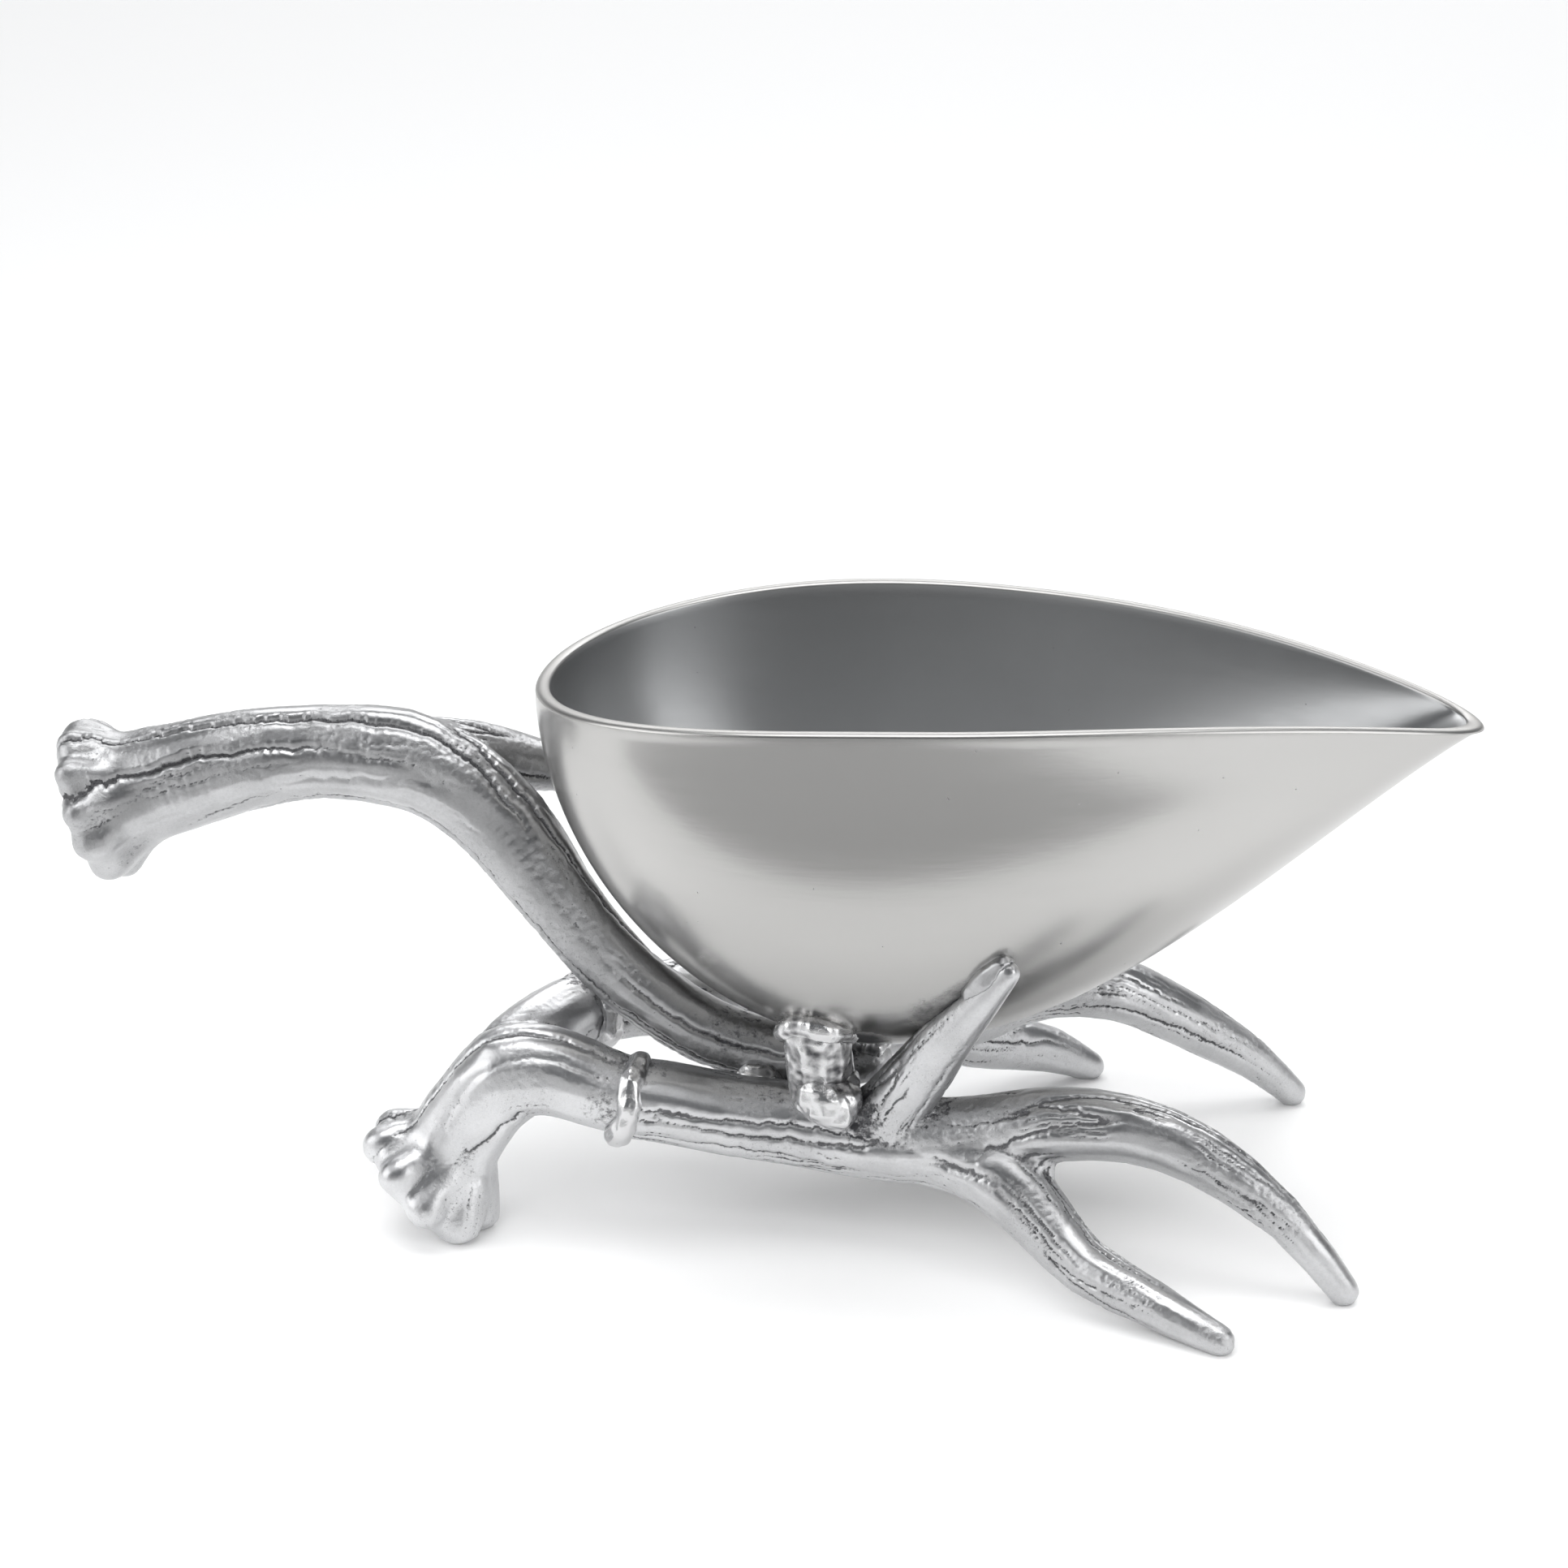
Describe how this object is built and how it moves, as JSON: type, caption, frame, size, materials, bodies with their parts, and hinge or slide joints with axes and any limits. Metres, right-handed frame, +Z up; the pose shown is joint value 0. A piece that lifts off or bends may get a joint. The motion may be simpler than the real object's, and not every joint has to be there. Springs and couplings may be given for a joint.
{
  "type": "sauce boat",
  "caption": "Teardrop sauce boat of polished cast metal with an antler handle, standing on welded antler branches.",
  "frame": {"origin": "the point on the table under the middle of the object's outline", "axes": "+X from the handle to the spout, +Z up, +Y to the left of someone who holds the handle and looks at the spout"},
  "size_m": [0.2933, 0.1394, 0.1235],
  "materials": {
    "bowl_metal": "polished",
    "antler_metal": "antiqued",
    "weld_metal": "cast"
  },
  "bodies": {
    "root": {"bowl": "bowl_metal", "handle_antler": "antler_metal", "heel_burr": "antler_metal", "front_antler": "antler_metal", "rear_antler": "antler_metal", "front_lug": "antler_metal", "rear_lug": "antler_metal", "weld_front_butt": "weld_metal", "weld_rear_butt": "weld_metal", "weld_front_lug_top": "weld_metal", "weld_rear_lug_top": "weld_metal", "weld_front_lug_foot": "weld_metal", "weld_rear_lug_foot": "weld_metal", "weld_handle_tip": "weld_metal", "weld_handle_branch": "weld_metal", "weld_handle_beam": "weld_metal", "weld_front_tine": "weld_metal", "weld_rear_tine": "weld_metal"}
  },
  "joints": []
}
